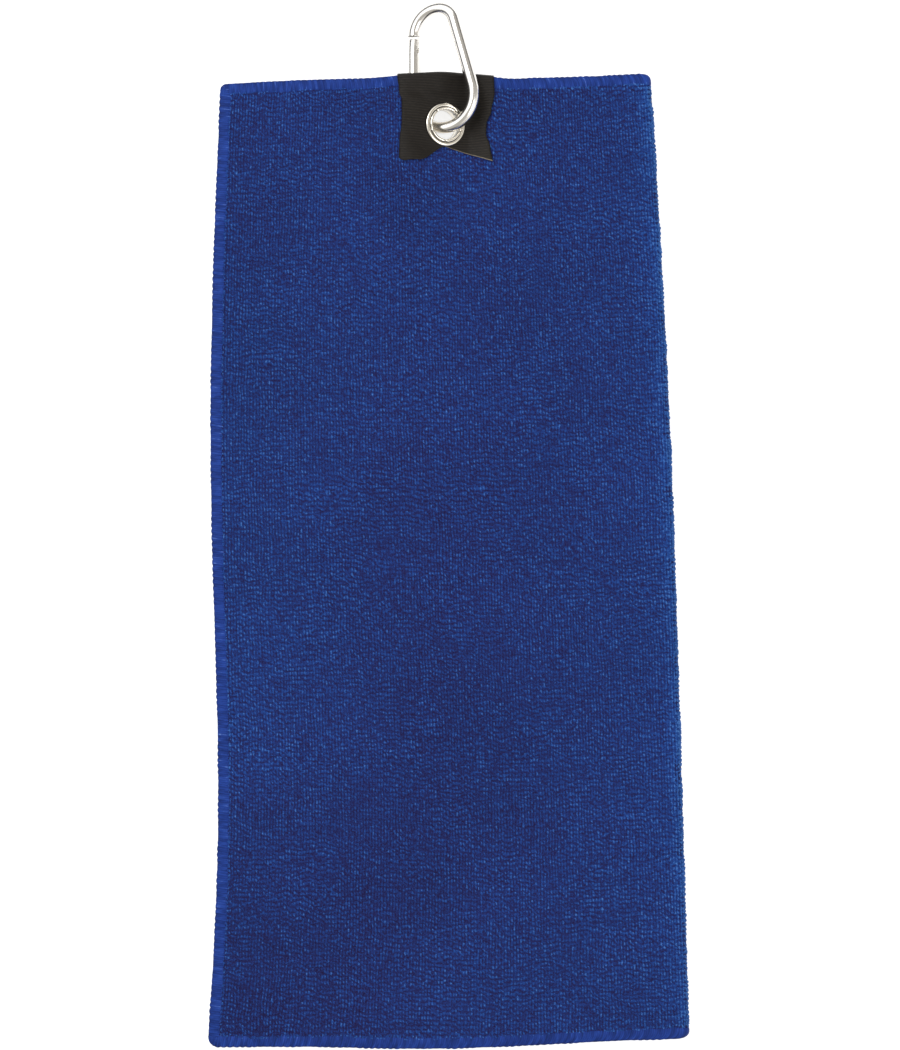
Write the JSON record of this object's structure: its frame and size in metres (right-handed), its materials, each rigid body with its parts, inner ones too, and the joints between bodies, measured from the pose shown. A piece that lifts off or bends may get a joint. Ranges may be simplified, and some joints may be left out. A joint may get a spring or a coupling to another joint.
{
  "type": "golf towel",
  "caption": "Golf towel folded in three, with a ribbon tab, an eyelet and a snap clip with a sprung gate.",
  "frame": {"origin": "centre of the footprint, on the surface that the towel lies on", "axes": "+Y along the towel towards its top edge and clip, +X to the right of the front panel, +Z out of the front panel"},
  "size_m": [0.2, 0.4356, 0.0182],
  "materials": {
    "terry": "looped microfibre terry",
    "hem_thread": "overlocked thread",
    "ribbon": "grosgrain weave",
    "nickel": "bright plated",
    "clip_metal": "polished",
    "steel": "satin"
  },
  "bodies": {
    "towel": {"towel_cloth": "terry", "top_hem": "hem_thread", "bottom_hem": "hem_thread", "front_edge_hem": "hem_thread", "inner_flap_hem": "hem_thread", "ribbon_tab": "ribbon", "eyelet_barrel": "nickel", "eyelet_washer": "nickel"},
    "clip": {"clip_body": "clip_metal"},
    "gate": {"clip_gate": "clip_metal", "gate_rivet": "steel", "latch_pin": "steel", "gate_spring": "steel", "spring_plunger": "steel"}
  },
  "joints": [
    {"name": "clip_swing", "type": "hinge", "parent": "towel", "child": "clip", "pos_m": [-0.002, 0.1664, 0.00777], "axis": [0, 0, 1], "range_deg": [-12, 12]},
    {"name": "gate_pivot", "type": "hinge", "parent": "clip", "child": "gate", "pos_m": [-0.01443, 0.2, 0.0025], "axis": [-0.3907, 0, 0.9205], "range_deg": [0, 20], "stiffness_Nm_per_rad": 0.08, "springref_deg": -14.32}
  ]
}
